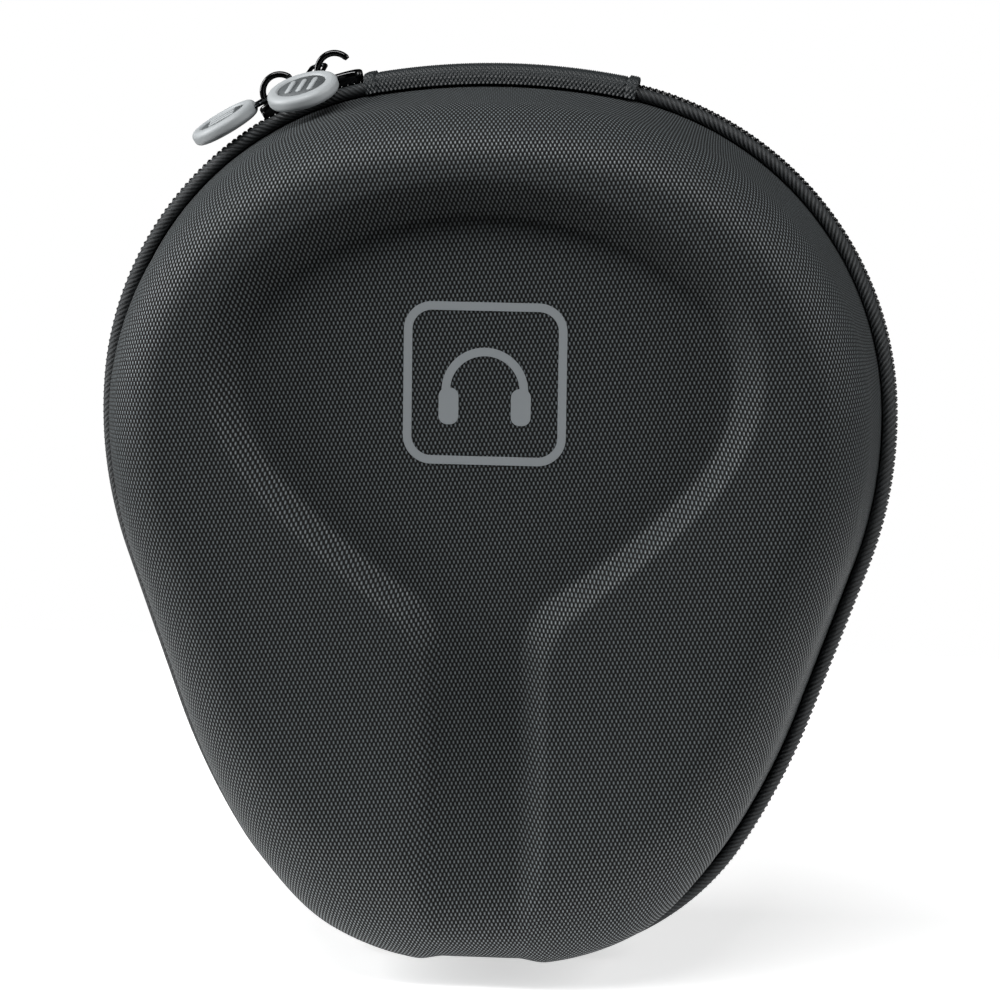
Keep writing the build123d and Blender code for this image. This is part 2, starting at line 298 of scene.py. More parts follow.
# %% The rings of one shell
WALL_INSET = 5.5
RIM_GAP = 2.15
DRAFT = math.tan(math.radians(6.0))
RING_CREST = 20.5  # crest to wall on the ring, in mm
LOBE_CREST = 38.0  # and on the lobes, which are rounder
ROUND_START = 32.0  # where the ring's wall starts to round over, in mm from the parting plane
LOBE_DROP = 5.0  # and how much lower that is on the lobes
LOBE_BULGE = 1.8  # how much less the lobes' walls lean inwards
FLANK_LEAN = 0.7  # and how much more the flanks lean, in mm
MIDDLE = np.array([0.0, 138.0])


def shell_grid(columns, wall_rows, round_rows, face_rows, offset):
    """Points (rows, columns, 3) and cloth coordinates of one half's surface, rim first."""
    along = np.linspace(0, 2 * HALF_LENGTH, columns, endpoint=False)
    points, outward, heading = on_zip_line(along)
    turned = np.degrees(heading)
    lobe = ease(92, 150, turned)
    crest = RING_CREST + (LOBE_CREST - RING_CREST) * lobe - offset
    shoulder = ROUND_START - LOBE_DROP * lobe
    bulge = LOBE_BULGE * ease(128, 150, turned) * (1 - ease(171, 178, turned))
    flank = FLANK_LEAN * ease(85, 100, turned)
    lean = DRAFT * (shoulder - RIM_GAP) - (bulge - flank)
    rows = []
    for share in np.linspace(0, 1, wall_rows, endpoint=False):
        rows.append((lean * share, RIM_GAP + (shoulder - RIM_GAP) * share))
    for turn in np.radians(np.linspace(0, 90, round_rows)):
        inset = lean + (crest - lean) * (1 - math.cos(turn))
        rows.append((inset, shoulder + (HALF_DEPTH - offset - shoulder) * math.sin(turn)))
    insets = np.array([np.broadcast_to(r[0], along.shape) for r in rows])
    heights = np.array([np.broadcast_to(r[1], along.shape) for r in rows])
    xz = points[None] - outward[None] * (WALL_INSET + offset + insets)[..., None]
    inner = np.linspace(0, 1, face_rows + 1, endpoint=False)[1:, None, None]
    face = xz[-1][None] + (MIDDLE - xz[-1])[None] * inner
    from_crest = np.concatenate([np.zeros(heights.shape), np.linalg.norm(face - xz[-1], axis=-1)])
    xz = np.concatenate([xz, face])
    heights = np.concatenate([heights, np.repeat(heights[-1:], face_rows, axis=0)])
    top, rise = face_height(xz[..., 0], xz[..., 1], from_crest, offset)
    y = soft_min(heights, top, CREST_BLEND * (1 - rise) + 0.05)
    xyz = np.stack([xz[..., 0], -y, xz[..., 1]], axis=-1)
    steps = np.linalg.norm(np.diff(xyz[: len(rows)], axis=0), axis=-1)
    run = np.concatenate([np.cumsum(steps[::-1], axis=0)[::-1], np.zeros((1, columns))])
    cloth = xz.copy()
    cloth[: len(rows)] = xz[len(rows) - 1] + outward[None] * run[..., None]
    return xyz, cloth


coarse = shell_grid(columns=8, wall_rows=3, round_rows=3, face_rows=3, offset=0.0)[0]
print("a coarse ring grid:", coarse.shape, "deepest, mm:", round(float(-coarse[..., 1].min()), 1))

# %% [markdown]
# # The two shells
# Each shell is 5 mm thick: foam, with the cloth laminated outside and the lining inside.
# The outer skin and a plainer inner skin are joined at the rim into one closed piece. The
# back shell is the front one mirrored, as both come from the same mould.

# %% Shell objects
WALL = 5.0
BODY = {"front": "front_half", "back": "back_half"}
MIRROR = {"front": 1.0, "back": -1.0}


def skin_faces(rows, columns, start, flip):
    """Faces of a ring grid whose last ring closes on one middle point."""
    middle = start + rows * columns
    faces = grid_faces(rows, columns, closed_columns=True, start=start)
    last = start + (rows - 1) * columns
    faces += [[last + c, last + (c + 1) % columns, middle] for c in range(columns)]
    return [f[::-1] for f in faces] if flip else faces


def skin_points(grid, cloth):
    """A ring grid as a list of points that ends with its middle point."""
    middle = grid[-1].mean(axis=0)
    points = np.concatenate([grid.reshape(-1, 3), middle[None]])
    uv = np.concatenate([cloth.reshape(-1, 2), cloth[-1].mean(axis=0)[None]])
    return points, uv


def make_shell(side):
    """One half's moulded shell, as a closed piece."""
    columns = 560
    grid, cloth = shell_grid(columns, wall_rows=9, round_rows=26, face_rows=88, offset=0.0)
    inner, inner_cloth = shell_grid(columns, wall_rows=3, round_rows=8, face_rows=24, offset=WALL)
    points, uv = skin_points(grid, cloth)
    back_points, back_uv = skin_points(inner, inner_cloth)
    start = len(points)
    faces = skin_faces(len(grid), columns, 0, False) + skin_faces(len(inner), columns, start, True)
    faces += [[c, start + c, start + (c + 1) % columns, (c + 1) % columns] for c in range(columns)]
    points = np.concatenate([points, back_points]) * [1.0, MIRROR[side], 1.0]
    uv = np.concatenate([uv, back_uv])
    piece = turn_outward(make_object(f"{side}_shell_cloth", points, faces, uv))
    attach(piece, BODY[side])
    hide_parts(f"{side}_shell")
    return piece


shells = [make_shell(side) for side in BODY]
print("shell faces:", len(shells[0].data.polygons))

# %% Lining
LINING_GAP, LINING_THICK = 0.15, 0.45  # from the foam, and through the cloth, in mm


def make_lining(side):
    """The brushed cloth inside one half, a thin closed sheet against the foam."""
    columns = 320
    counts = (4, 10, 44)  # rows of the wall, the rounding and the face
    near, uv = skin_points(*shell_grid(columns, *counts, offset=WALL + LINING_GAP))
    far, _ = skin_points(*shell_grid(columns, *counts, offset=WALL + LINING_GAP + LINING_THICK))
    rows = sum(counts)
    start = len(near)
    faces = skin_faces(rows, columns, 0, True) + skin_faces(rows, columns, start, False)
    faces += [[c, (c + 1) % columns, start + (c + 1) % columns, start + c] for c in range(columns)]
    points = np.concatenate([near, far]) * [1.0, MIRROR[side], 1.0]
    uv = np.concatenate([uv, uv])
    piece = turn_outward(make_object(f"{side}_lining_cloth", points, faces, uv))
    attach(piece, BODY[side])
    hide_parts(f"{side}_lining")
    return piece


linings = [make_lining(side) for side in BODY]

# %% [markdown]
# # Nodes and colours
# A material's colours are given as a designer writes them, in sRGB hex, and one function
# turns them to the linear values that Blender works in. Another adds a shader node with
# its settings and links, and two short ones call it for sums and for changes of range, so
# that each material reads as a short list.

# %% Colour and node helpers


def linear(code):
    """A colour such as #1c1e1f as linear RGBA."""
    parts = [int(code[i:i + 2], 16) / 255 for i in (1, 3, 5)]
    return tuple(p / 12.92 if p <= 0.04045 else ((p + 0.055) / 1.055) ** 2.4
                 for p in parts) + (1.0,)


def add_node(tree, kind, settings=None, inputs=None):
    """Adds a node. An input is a plain value, or the output socket of another node."""
    node = tree.nodes.new(kind)
    for name, value in (settings or {}).items():
        setattr(node, name, value)
    for name, value in (inputs or {}).items():
        if isinstance(value, bpy.types.NodeSocket):
            tree.links.new(value, node.inputs[name])
        else:
            node.inputs[name].default_value = value
    return node


def calculate(tree, operation, *values):
    """The result of a maths node on plain values or sockets."""
    node = add_node(tree, "ShaderNodeMath", {"operation": operation}, dict(enumerate(values)))
    return node.outputs[0]


def remap(tree, value, before, after=(0.0, 1.0), curve="LINEAR"):
    """A value taken from one range to another, and held at the ends."""
    node = add_node(tree, "ShaderNodeMapRange", {"interpolation_type": curve},
                    {"Value": value, "From Min": before[0], "From Max": before[1],
                     "To Min": after[0], "To Max": after[1]})
    return node.outputs["Result"]


def new_material(name, inputs):
    """A material with one shader, set from typical values, and its node tree."""
    made = bpy.data.materials.new(name)
    made.use_nodes = True
    tree = made.node_tree
    tree.nodes.clear()
    shader = add_node(tree, "ShaderNodeBsdfPrincipled", {}, inputs)
    add_node(tree, "ShaderNodeOutputMaterial", {}, {"Surface": shader.outputs["BSDF"]})
    return made, tree, shader


def finish_with(pieces, made):
    """Gives pieces their material."""
    for piece in pieces:
        piece.data.materials.clear()
        piece.data.materials.append(made)


# %% [markdown]
# # Ballistic nylon
# The shells wear a coarse plain-woven nylon. Its upright threads are 0.60 mm apart and the
# crossing ones 1.18 mm, so each place where an upright thread passes over shows as a bead,
# taller than it is wide, and the beads stagger like bricks. Nylon is drawn smooth, so every
# bead has a soft highlight. The threads are all one charcoal, but the colour here is painted:
# light grey on the bead tops as a painted highlight, and black in the gaps as painted shade.
# Multiplying two cosines gives exactly this chessboard of overs and unders. The cloth
# coordinates come from the mesh in millimetres, so the thread spacing is real, and they
# follow the surface down the wall, where the threads run on without stretching.

# %% Weave pattern
WARP = 0.60  # mm between upright threads
WEFT = 1.18  # mm between crossing threads
BEAD = 0.09  # mm from a thread's mean height to its top
CLOTH_TURN = math.radians(-4.5)  # the cloth lies a little askew in the mould


def cloth_weave(tree, coordinates, warp, weft, bead, turn):
    """A plain weave: its height, from -1 where a crossing thread is on top to 1 where an upright
    one is, and its surface normal. The normal comes from the cosines' own slopes, because the
    threads are too fine for a bump node, which only compares neighbouring points."""
    turned = add_node(tree, "ShaderNodeMapping", {},
                      {"Vector": coordinates, "Rotation": (0, 0, turn)})
    axes = add_node(tree, "ShaderNodeSeparateXYZ", {}, {"Vector": turned.outputs["Vector"]})
    cosine, slope = [], []
    for axis, spacing in (("X", warp), ("Y", weft)):
        angle = calculate(tree, "MULTIPLY", axes.outputs[axis], math.pi / spacing)
        cosine.append(calculate(tree, "COSINE", angle))
        sine = calculate(tree, "SINE", angle)
        slope.append(calculate(tree, "MULTIPLY", sine, bead * math.pi / spacing))
    height = calculate(tree, "MULTIPLY", cosine[0], cosine[1])
    leans = [calculate(tree, "MULTIPLY", slope[i], cosine[1 - i]) for i in (0, 1)]
    lean = add_node(tree, "ShaderNodeCombineXYZ", {}, {"X": leans[0], "Y": leans[1], "Z": 1.0})
    unit = add_node(tree, "ShaderNodeVectorMath", {"operation": "NORMALIZE"},
                    {0: lean.outputs[0]})
    half = (0.5, 0.5, 0.5)
    packed = add_node(tree, "ShaderNodeVectorMath", {"operation": "MULTIPLY_ADD"},
                      {0: unit.outputs[0], 1: half, 2: half})
    normal = add_node(tree, "ShaderNodeNormalMap", {"uv_map": "cloth"},
                      {"Color": packed.outputs[0]})
    return height, normal.outputs["Normal"]


# %% Ballistic nylon material


def make_ballistic_nylon():
    """Coarse charcoal nylon: glossy beads, with painted shade in the gaps and a painted highlight
    on the bead tops.
    """
    made, tree, shader = new_material("ballistic_nylon", {"IOR": 1.53, "Specular IOR Level": 0.35})
    uv = add_node(tree, "ShaderNodeUVMap", {"uv_map": "cloth"})
    height, normal = cloth_weave(tree, uv.outputs["UV"], WARP, WEFT, BEAD, CLOTH_TURN)
    # The colour is painted light and shade: black in the gaps is painted shade and the light grey
    # bead tops are a painted highlight; the noise is the cloth's own uneven tone.
    bead = remap(tree, height, (0.0, 0.8), curve="SMOOTHSTEP")
    uneven = add_node(tree, "ShaderNodeTexNoise", {"noise_dimensions": "2D"},
                      {"Vector": uv.outputs["UV"], "Scale": 0.9, "Detail": 2.0})
    tone = remap(tree, uneven.outputs["Fac"], (0.3, 0.7), (0.8, 1.0))
    painted_shade_and_tone = calculate(tree, "MULTIPLY", bead, tone)
    colour = add_node(tree, "ShaderNodeMix", {"data_type": "RGBA"},
                      {"Factor": painted_shade_and_tone, "A": linear("#000000"), "B": linear("#666d70")})
    rough = remap(tree, height, (-0.3, 0.7), (1.0, 0.36))
    tree.links.new(colour.outputs["Result"], shader.inputs["Base Color"])
    tree.links.new(rough, shader.inputs["Roughness"])
    tree.links.new(normal, shader.inputs["Normal"])
    return made


finish_with(shells, make_ballistic_nylon())

# %% [markdown]
# # Piping
# A cord wrapped in bias-cut cloth is sewn in beside the zip on each half. It guards the
# edge and gives the sewing machine a line to follow. Its cloth is cut at 45 degrees so that
# it bends round the curve, which is why its ribs run slantwise. The wrap's flange goes down
# beside the tape, so the section is a circle with a tail.

# %% Piping tubes
PIPING_R = 1.85
PIPING_H = -3.6  # under the zip line
PIPING_Y = 4.6


def piping_shape():
    """A cord with its flange, on the front half's side."""
    turn = np.radians(np.linspace(-25.6, 300.1, 22))  # open where the flange joins
    cord = np.stack([PIPING_H + PIPING_R * np.sin(turn), -PIPING_Y + PIPING_R * np.cos(turn)], -1)
    flange = [(-5.2, -2.05), (-9.0, -2.05), (-9.0, -1.05), (-4.4, -1.05)]
    return np.concatenate([cord, flange])


def mirrored(section, side):
    """The same section on the back half's side."""
    return lambda along: section(along) * [1.0, MIRROR[side]]


def make_sewn_ring(side, name, section, ends=0.0, step=0.8):
    """A sewn piece that runs round one half, stopping short of the top by a distance in mm."""
    length = 2 * (HALF_LENGTH - ends)
    along = np.linspace(ends, 2 * HALF_LENGTH - ends, round(length / step), endpoint=ends > 0)
    piece = sweep(f"{side}_{name}_cloth", along, mirrored(section, side), closed=ends == 0)
    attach(piece, BODY[side])
    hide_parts(f"{side}_{name}")
    return piece


pipings = [make_sewn_ring(side, "piping", steady(piping_shape())) for side in BODY]
print("piping points:", len(pipings[0].data.vertices))

# %% [markdown]
# # Zip tape and binding
# Inside the piping, the zip's woven tape is sewn to the shell's rim, and a folded binding
# covers all the raw edges. Both are narrow strips that go all the way round. The tape stops
# under the webbing, where the zip does.

# %% Tape and binding strips
TAPE_END = 34.0  # from the top centre, in mm
tape = steady(rounded(low=-9.0, high=-3.1, near=-1.0, far=-0.2, corner=0.2))
binding = steady(rounded(low=-12.1, high=-9.1, near=-2.05, far=-0.3, corner=0.6))
tapes = [make_sewn_ring(side, "zip_tape", tape, ends=TAPE_END) for side in BODY]
bindings = [make_sewn_ring(side, "binding", binding) for side in BODY]

# %% [markdown]
# # Zip coils
# Each half's teeth are one nylon thread wound into a spring, with a turn every 1.95 mm, and
# sewn to the tape. The two springs mesh because one is half a turn behind the other.
# A helix along the zip line gives the turns, and a small tube follows the helix.

# %% Tubes along a path


def tube(name, path, up, side, half_up, half_side, steps, power=1.0):
    """A closed tube along a path in mm. up and side are unit vectors square to the path; a
    power under 1 makes its section squarer."""
    turn = np.linspace(0, 2 * math.pi, steps, endpoint=False)
    c, s = np.cos(turn), np.sin(turn)
    c, s = np.sign(c) * np.abs(c) ** power, np.sign(s) * np.abs(s) ** power
    half_up, half_side = np.broadcast_to(half_up, len(path)), np.broadcast_to(half_side, len(path))
    rings = (path[:, None] + up[:, None] * (half_up[:, None] * c)[..., None]
             + side[:, None] * (half_side[:, None] * s)[..., None])
    rings[..., 2] = np.maximum(rings[..., 2], FLOOR_GAP)
    return turn_outward(make_object(name, rings.reshape(-1, 3), capped_faces(len(path), steps)))


# %% Coils
PITCH = 1.95
COIL_START = 40.4  # from the top centre, where the webbing's ends are
COIL_MIDDLE = (-2.25, -1.38)  # height over the zip line and depth of the spring's middle, in mm
COIL_REACH = (0.85, 0.78)  # and how far the thread goes from it each way
THREAD_R = 0.4


def make_coil(side, phase):
    """One half's spring of teeth."""
    turns = round(2 * (HALF_LENGTH - COIL_START) / PITCH)
    t = np.linspace(0, turns, turns * 11)
    along = COIL_START + t * 2 * (HALF_LENGTH - COIL_START) / turns
    angle = 2 * math.pi * t + phase
    points, outward, _ = on_zip_line(along)
    height = COIL_MIDDLE[0] + COIL_REACH[0] * np.cos(angle)
    y = COIL_MIDDLE[1] + COIL_REACH[1] * np.sin(angle)
    xz = points + outward * height[:, None]
    path = np.stack([xz[:, 0], y * MIRROR[side], xz[:, 1]], -1)
    ahead = np.gradient(path, axis=0)
    ahead /= np.linalg.norm(ahead, axis=1)[:, None]
    up = np.stack([outward[:, 0] * np.cos(angle), MIRROR[side] * np.sin(angle),
                   outward[:, 1] * np.cos(angle)], -1)
    up -= ahead * (up * ahead).sum(axis=1)[:, None]
    up /= np.linalg.norm(up, axis=1)[:, None]
    piece = tube(f"{side}_zip_coil_thread", path, up, np.cross(ahead, up), THREAD_R, THREAD_R, 6)
    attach(piece, BODY[side])
    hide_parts(f"{side}_zip_coil")
    return piece


coils = [make_coil("front", 0.0), make_coil("back", math.pi)]
print("coil points:", len(coils[0].data.vertices))

# %% [markdown]
# # Webbing hinge
# At the top, a strip of heavy webbing lies across the zip and both pipings and is sewn down
# on each side. It is what keeps the halves together. Its threads are
# coarse, nearly a millimetre apart, and each is a real bump in the mesh. Both ends are
# folded under and sewn across, which makes them thicker.

# %% Webbing strip
WEBBING_HALF = 40.0
WEBBING_Y = 8.2
WEBBING_THICK = 1.5
WEBBING_LEG = 5.2
WEBBING_ROUND = 3.5
WEBBING_THREAD = (0.62, 0.95)  # spacing along the strip and across it
WEBBING_BEAD = 0.28  # height of its threads
HEM = 3.0
HEM_RISE = 0.55
END_DROP = 0.5  # how far the folded ends turn down
SEAM_DEEP = SEAM_HALF = 0.35  # the groove that the sewing across a hem makes


def webbing_profile(round_r, steps):
    """Points and normals across the strip, evenly spaced, from its front edge to its back edge."""
    flat, leg = WEBBING_Y - WEBBING_ROUND, WEBBING_LEG - WEBBING_ROUND
    lengths = np.cumsum([leg, round_r * math.pi / 2, 2 * flat, round_r * math.pi / 2, leg])
    v = np.linspace(0, lengths[-1], steps)
    turn = (np.clip((v - lengths[0]) / round_r, 0, math.pi / 2)
            + np.clip((v - lengths[2]) / round_r, 0, math.pi / 2))
    normal = np.stack([np.sin(turn), -np.cos(turn)], -1)
    centre_y = -flat + np.clip(v - lengths[1], 0, 2 * flat)
    up_leg = -WEBBING_ROUND - np.clip(lengths[0] - v, 0, leg) - np.clip(v - lengths[3], 0, leg)
    return np.stack([up_leg, centre_y], -1) + normal * round_r, normal, v


def webbing_section(along):
    """The strip's section: woven outside, plain inside, with a thicker hem at each end."""
    outer, normal, v = webbing_profile(WEBBING_ROUND, 120)
    inner, _, _ = webbing_profile(WEBBING_ROUND - WEBBING_THICK, 24)
    step_along, step_across = math.pi / WEBBING_THREAD[0], math.pi / WEBBING_THREAD[1]
    weave = WEBBING_BEAD * np.cos(along[:, None] * step_along) * np.cos(v[None] * step_across)
    reach = np.abs(along)
    hem = HEM_RISE * ease(WEBBING_HALF - HEM - 0.5, WEBBING_HALF - HEM, reach)
    end = -END_DROP * ease(WEBBING_HALF - 0.6, WEBBING_HALF, reach)
    seam = -SEAM_DEEP * np.exp(-((reach - WEBBING_HALF + HEM + 0.4) / SEAM_HALF) ** 2)
    raised = weave + (hem + end + seam)[:, None]
    skin = outer[None] + normal[None] * raised[..., None]
    under = np.broadcast_to(inner[::-1], (len(along), len(inner), 2))
    return np.concatenate([skin, under], axis=1)


def make_webbing():
    """The one strip that joins the halves."""
    along = np.linspace(-WEBBING_HALF, WEBBING_HALF, 600)
    piece = sweep("webbing_cloth", along, webbing_section)
    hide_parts("front_webbing", "back_webbing")
    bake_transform(piece)
    return piece


webbing = make_webbing()
print("webbing points:", len(webbing.data.vertices))

# %% [markdown]
# # Zip sliders
# Two die-cast sliders meet at the top left of the case. Each is a plate over the teeth with
# a flange down each side, and a round hook cast on top for its puller. They are lacquered
# black, so the plate is dark with one bright reflection. The plate narrows to a rounded
# nose, so that its width and height follow a rounded curve of the distance from its middle.

# %% Slider plates
SHOULDER_R, SHOULDER_TURN = ARCS[1][0], ARCS[0][1]  # the arc they slide on, and where it starts
SLIDER_TURN = {"a": 26.8, "b": 17.2}
SLIDER_LENGTH = 14.6
SLIDER_HALF_WIDTH = 4.2
SLIDER_LOW, SLIDER_RISE = 0.9, 1.5  # the plate's top at its ends, and the rise to its middle
SLIDER_CORNER = 0.9
SLIDER_CEILING = 0.55  # the plate's underside, over the zip line
FLANGE_END = -1.4
FLANGE_THICK = 0.8


def slider_along(letter):
    """A slider's middle, as a distance along the zip line."""
    turned = math.radians(SLIDER_TURN[letter] - SHOULDER_TURN)
    return 2 * HALF_LENGTH - RUNS[1][0] - SHOULDER_R * turned


def slider_section(middle):
    """A section for sweep(): a plate with two flanges, rounded in towards its ends."""
    def section(along):
        share = np.clip(np.abs(along - middle) / (SLIDER_LENGTH / 2), 0, 0.985)
        full = (1 - share ** 5) ** 0.2
        turn = np.radians(np.linspace(180, 90, 5))
        shape = []
        for half, top in zip(SLIDER_HALF_WIDTH * full, SLIDER_LOW + SLIDER_RISE * full):
            near = np.stack([top - SLIDER_CORNER + SLIDER_CORNER * np.sin(turn),
                             SLIDER_CORNER - half + SLIDER_CORNER * np.cos(turn)], -1)
            hollow = half - FLANGE_THICK
            inner = [(FLANGE_END, hollow), (SLIDER_CEILING, hollow),
                     (SLIDER_CEILING, -hollow), (FLANGE_END, -hollow)]
            shape.append(np.concatenate([[(FLANGE_END, -half)], near, near[::-1] * [1, -1],
                                         [(FLANGE_END, half)], inner]))
        return np.array(shape)
    return section


def make_slider(letter):
    """The plate and flanges of one slider."""
    middle = slider_along(letter)
    along = middle + SLIDER_LENGTH / 2 * np.sin(np.linspace(-math.pi / 2, math.pi / 2, 41))
    piece = sweep(f"slider_{letter}_plate", along, slider_section(middle))
    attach(piece, f"slider_{letter}")
    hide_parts(f"slider_{letter}_body")
    return piece


sliders = [make_slider(letter) for letter in SLIDER_TURN]
print("slider middles, mm from the top:",
      [round(slider_along(letter) - 2 * HALF_LENGTH, 1) for letter in SLIDER_TURN])

# %% Slider hooks
HOOK_RISE = 3.6
HOOK_R = 5.0  # to the middle of the rod
HOOK_ROD = (0.92, 1.15)  # half its thickness outward, and half its width across the zip


def hook_frame(letter):
    """Middle of a hook, and the directions along the zip and outward, in mm."""
    (x, z), outward, _ = on_zip_line(slider_along(letter))
    out = np.array([outward[0], 0.0, outward[1]])
    ahead = np.array([out[2], 0.0, -out[0]])
    return np.array([x, 0.0, z]) + out * HOOK_RISE, ahead, out


def make_hook(letter):
    """A thick C that stands on the plate's left end and stays open on the right."""
    middle, ahead, out = hook_frame(letter)
    turn = np.radians(np.linspace(25, 180, 40))
    radial = ahead[None] * np.cos(turn)[:, None] + out[None] * np.sin(turn)[:, None]
    path = middle + radial * HOOK_R
    leg = path[-1] - out * np.linspace(0.6, 2.4, 4)[:, None]
    path = np.concatenate([path, leg])
    radial = np.concatenate([radial, np.repeat(radial[-1:], len(leg), axis=0)])
    across = np.broadcast_to([0.0, 1.0, 0.0], path.shape)
    blunt = np.minimum(1.0, 0.72 + 0.28 * np.arange(len(path)) / 2)  # rounds off the open end
    piece = tube(f"slider_{letter}_loop", path, radial, across, HOOK_ROD[0] * blunt,
                 HOOK_ROD[1] * blunt, 16, power=0.7)
    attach(piece, f"slider_{letter}")
    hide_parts(f"slider_{letter}_hook")
    return piece


hooks = [make_hook(letter) for letter in SLIDER_TURN]

# %% [markdown]
# # Pullers
# Each slider has a puller: a wire loop round the hook, a short pressed tab, and a soft disc
# moulded over the tab to give the fingers a grip. The disc is turned from one profile, with
# a sunk middle on each face and three raised ribs there, and a darker rubber fills the
# sunk part. Soft pullers never hang quite straight, so both are rolled a little.

# %% Puller frames
# Where each loop's bar lies in its hook, in mm, and which way the puller hangs from there.
PULLER_ORIGIN = {"a": (-64.6667, 0.0, 254.969), "b": (-53.4659, 2.4963, 262.609)}
PULLER_AHEAD = {"a": (-math.cos(math.radians(30)), 0.0, -0.5),
                "b": (-0.14, -math.cos(math.radians(21)), -math.sin(math.radians(21)))}
PULLER_ROLL = {"a": math.radians(-9), "b": math.radians(12)}
DISC_OFFSET = 18.5  # from the loop's bar to the disc's middle


def puller_frame(letter):
    """Origin in mm and the unit vectors along a puller, across it and out of its face."""
    ahead = Vector(PULLER_AHEAD[letter]).normalized()
    up = (Vector((0, 0, 1)) - ahead * ahead.z).normalized()
    up.rotate(Matrix.Rotation(PULLER_ROLL[letter], 3, ahead))
    across = up.cross(ahead)
    return np.array(PULLER_ORIGIN[letter]), np.array(ahead), np.array(across), np.array(up)


def placed(letter, local):
    """Points given along, across and out of a puller, in the case's frame."""
    origin, ahead, across, up = puller_frame(letter)
    return origin + local[:, :1] * ahead + local[:, 1:2] * across + local[:, 2:] * up


def join_parts(name, parts):
    """One object from several closed parts, each given as points and faces."""
    points, faces, start = [], [], 0
    for part_points, part_faces in parts:
        points.append(part_points)
        faces += [[index + start for index in face] for face in part_faces]
        start += len(part_points)
    return turn_outward(make_object(name, np.concatenate(points), faces))


# %% Discs and inlays
HUB_R = 0.05  # a turned part stops just short of its axis
DISC_PROFILE = ((HUB_R, 1.5), (7.1, 1.5), (7.35, 1.75), (7.5, 2.0), (7.8, 2.1), (8.8, 2.1))
DISC_R = 10.5
DISC_EDGE = 1.6  # rounding of the rim
RIM_HALF = 0.5  # half the height of the rim's upright part
RIB_LENGTH, RIB_WIDTH = 8.4, 1.5
RIB_ROWS = ((1.4, 1.0), (1.95, 1.0), (2.1, 0.8))  # height, and share of the rib's width
RIB_SPACING = 3.4
INLAY_R = 7.2
INLAY_HEIGHTS = (1.45, 1.62)


def turned_part(letter, profile, columns=72):
    """A part turned round the disc's axis from a profile of radius and height."""
    turn = np.linspace(0, 2 * math.pi, columns, endpoint=False)
    r, h = np.array(profile)[:, 0, None], np.array(profile)[:, 1, None]
    local = np.stack([DISC_OFFSET + r * np.cos(turn), r * np.sin(turn), h + 0 * turn], -1)
    return placed(letter, local.reshape(-1, 3)), capped_faces(len(profile), columns)


def rib_part(letter, across, face):
    """A raised rib with round ends and a softened top, on one face of the disc."""
    turn = np.linspace(0, 2 * math.pi, 24, endpoint=False)
    straight = (RIB_LENGTH - RIB_WIDTH) / 2 * np.sign(np.cos(turn) + 1e-9)
    local = []
    for height, share in RIB_ROWS:
        half = RIB_WIDTH / 2 * share
        local.append(np.stack([DISC_OFFSET + straight + half * np.cos(turn),
                               across + half * np.sin(turn), 0 * turn + face * height], -1))
    return placed(letter, np.concatenate(local)), capped_faces(len(RIB_ROWS), len(turn))


def make_disc(letter):
    """A puller's grey disc with its ribs."""
    rim = [(DISC_R - DISC_EDGE + DISC_EDGE * math.cos(t), RIM_HALF + DISC_EDGE * math.sin(t))
           for t in np.radians(np.linspace(90, 0, 8))]
    top = list(DISC_PROFILE) + rim
    parts = [turned_part(letter, top + [(r, -h) for r, h in top[::-1]])]
    parts += [rib_part(letter, across, face)
              for across in (-RIB_SPACING, 0.0, RIB_SPACING) for face in (1, -1)]
    disc = join_parts(f"puller_{letter}_disc", parts)
    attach(disc, f"puller_{letter}")
    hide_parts(f"pull_disc_{letter}")
    return disc


def make_inlay(letter):
    """The darker rubber in the sunk middle of both faces."""
    low, high = INLAY_HEIGHTS
    outline = ((HUB_R, low), (INLAY_R, low), (INLAY_R, high), (HUB_R, high))
    inlay = join_parts(f"puller_{letter}_inlay", [
        turned_part(letter, [(r, face * h) for r, h in outline]) for face in (1, -1)])
    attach(inlay, f"puller_{letter}")
    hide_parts(f"pull_inlay_{letter}")
    return inlay


discs = [make_disc(letter) for letter in SLIDER_TURN]
inlays = [make_inlay(letter) for letter in SLIDER_TURN]

# %% Wire loops and tabs
LOOP_LENGTH = 7.2
LOOP_HALF_WIDTH = 2.3
LOOP_ROUND = 1.6
WIRE_R = 0.62
TAB_ENDS = (6.6, 12.2)  # along the puller
TAB_HALF_WIDTH, TAB_HALF_THICK = 2.8, 0.5


def make_tab(letter):
    """The loop round the hook and the flat tab that goes into the disc."""
    turn = np.radians(np.arange(0, 361, 15))
    square_x, square_y = np.sign(np.cos(turn) + 1e-9), np.sign(np.sin(turn) + 1e-9)
    middle = LOOP_LENGTH / 2
    x = middle + square_x * (middle - LOOP_ROUND) + LOOP_ROUND * np.cos(turn)
    y = square_y * (LOOP_HALF_WIDTH - LOOP_ROUND) + LOOP_ROUND * np.sin(turn)
    path = placed(letter, np.stack([x, y, 0 * x], -1))
    _, ahead, across, up = puller_frame(letter)
    radial = np.cos(turn)[:, None] * ahead + np.sin(turn)[:, None] * across
    normal = np.broadcast_to(up, path.shape)
    loop = tube(f"puller_{letter}_tab", path, normal, radial, WIRE_R, WIRE_R, 10)
    plate = [(x, y * TAB_HALF_WIDTH, z * TAB_HALF_THICK)
             for x in TAB_ENDS for y in (-1, 1) for z in (-1, 1)]
    box = [(0, 1, 3, 2), (4, 5, 7, 6), (0, 1, 5, 4), (2, 3, 7, 6), (0, 2, 6, 4), (1, 3, 7, 5)]
    wire = (np.array([v.co for v in loop.data.vertices]) / MM,
            [list(f.vertices) for f in loop.data.polygons])
    bpy.data.objects.remove(loop)
    tab = join_parts(f"puller_{letter}_wire_tab", [wire, (placed(letter, np.array(plate)), box)])
    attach(tab, f"puller_{letter}")
    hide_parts(f"pull_tab_{letter}")
    return tab


tabs = [make_tab(letter) for letter in SLIDER_TURN]
